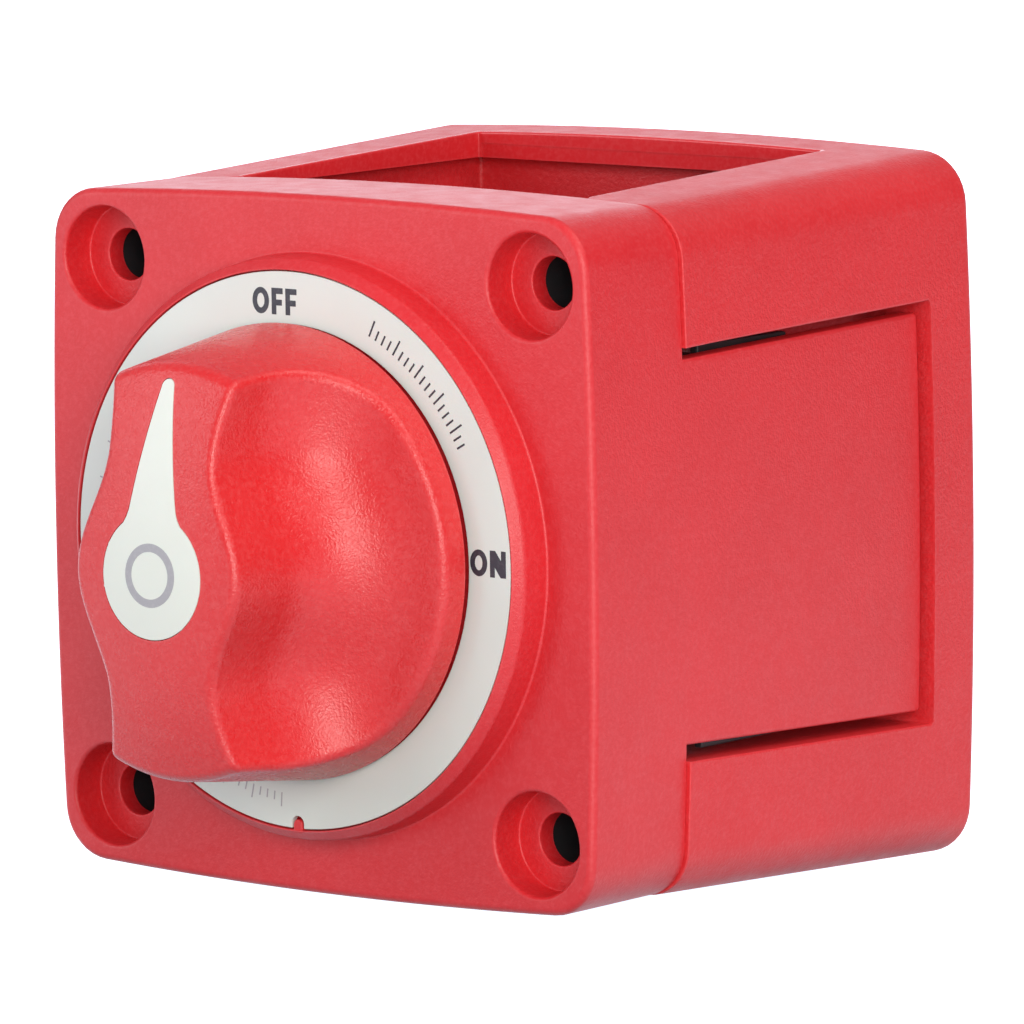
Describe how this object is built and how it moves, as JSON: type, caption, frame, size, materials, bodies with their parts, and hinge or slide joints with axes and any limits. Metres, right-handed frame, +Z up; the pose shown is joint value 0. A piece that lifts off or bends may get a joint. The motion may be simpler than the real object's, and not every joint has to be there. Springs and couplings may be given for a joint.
{
  "type": "battery switch",
  "caption": "Square surface-mount battery isolator switch with a round turning grip knob, label ring, and a box-shaped rear cover open at top and bottom for cables.",
  "frame": {"origin": "centre of the rear mounting face", "axes": "+Z up, +Y out of the rear face into the surface that the switch is mounted on, knob faces -Y, +X to the right seen from the front"},
  "size_m": [0.0726, 0.0859, 0.0732],
  "materials": {
    "housing_red": "injection-moulded, fine satin grain, glossier rounded edges",
    "cover_red": "injection-moulded, fine spark-eroded grain",
    "knob_red": "injection-moulded, semi-gloss",
    "label_white": "printed off-white sheet, satin",
    "insert_white": "moulded white plastic, satin",
    "mechanism_black": "glass-filled moulding",
    "seal_rubber": "smooth nitrile",
    "copper": "bare copper",
    "tinned_copper": "tin plated, threaded",
    "stainless_steel": "bright stainless"
  },
  "bodies": {
    "housing": {"front_housing": "housing_red", "rear_cover": "cover_red", "label_ring": "label_white", "contact_base": "mechanism_black", "stud_1": "tinned_copper", "stud_washer_1": "stainless_steel", "stud_nut_1": "stainless_steel", "stud_2": "tinned_copper", "stud_washer_2": "stainless_steel", "stud_nut_2": "stainless_steel", "stud_3": "tinned_copper", "stud_washer_3": "stainless_steel", "stud_nut_3": "stainless_steel", "stud_4": "tinned_copper", "stud_washer_4": "stainless_steel", "stud_nut_4": "stainless_steel", "base_screw_1": "stainless_steel", "base_screw_2": "stainless_steel", "base_screw_3": "stainless_steel", "base_screw_4": "stainless_steel"},
    "knob": {"knob": "knob_red", "pointer_insert": "insert_white", "shaft_seal": "seal_rubber", "rotor": "mechanism_black", "rotor_screw": "stainless_steel", "detent_ball_upper": "stainless_steel", "detent_spring_upper": "stainless_steel", "detent_ball_lower": "stainless_steel", "detent_spring_lower": "stainless_steel"},
    "contacts": {"contact_carrier": "mechanism_black", "contact_bridge_left": "copper", "bridge_spring_left_upper": "stainless_steel", "bridge_spring_left_lower": "stainless_steel", "contact_bridge_right": "copper", "bridge_spring_right_upper": "stainless_steel", "bridge_spring_right_lower": "stainless_steel"}
  },
  "joints": [
    {"name": "knob_turn", "type": "hinge", "parent": "housing", "child": "knob", "pos_m": [0, -0.0608, 0], "axis": [0, 1, 0], "range_deg": [0, 90]},
    {"name": "contact_travel", "type": "slide", "parent": "housing", "child": "contacts", "axis": [0, 1, 0], "range_m": [0, 0.0025]}
  ],
  "couplings": [
    {"joint": "contact_travel", "follows": "knob_turn", "m_per_rad": 0.0015915}
  ]
}
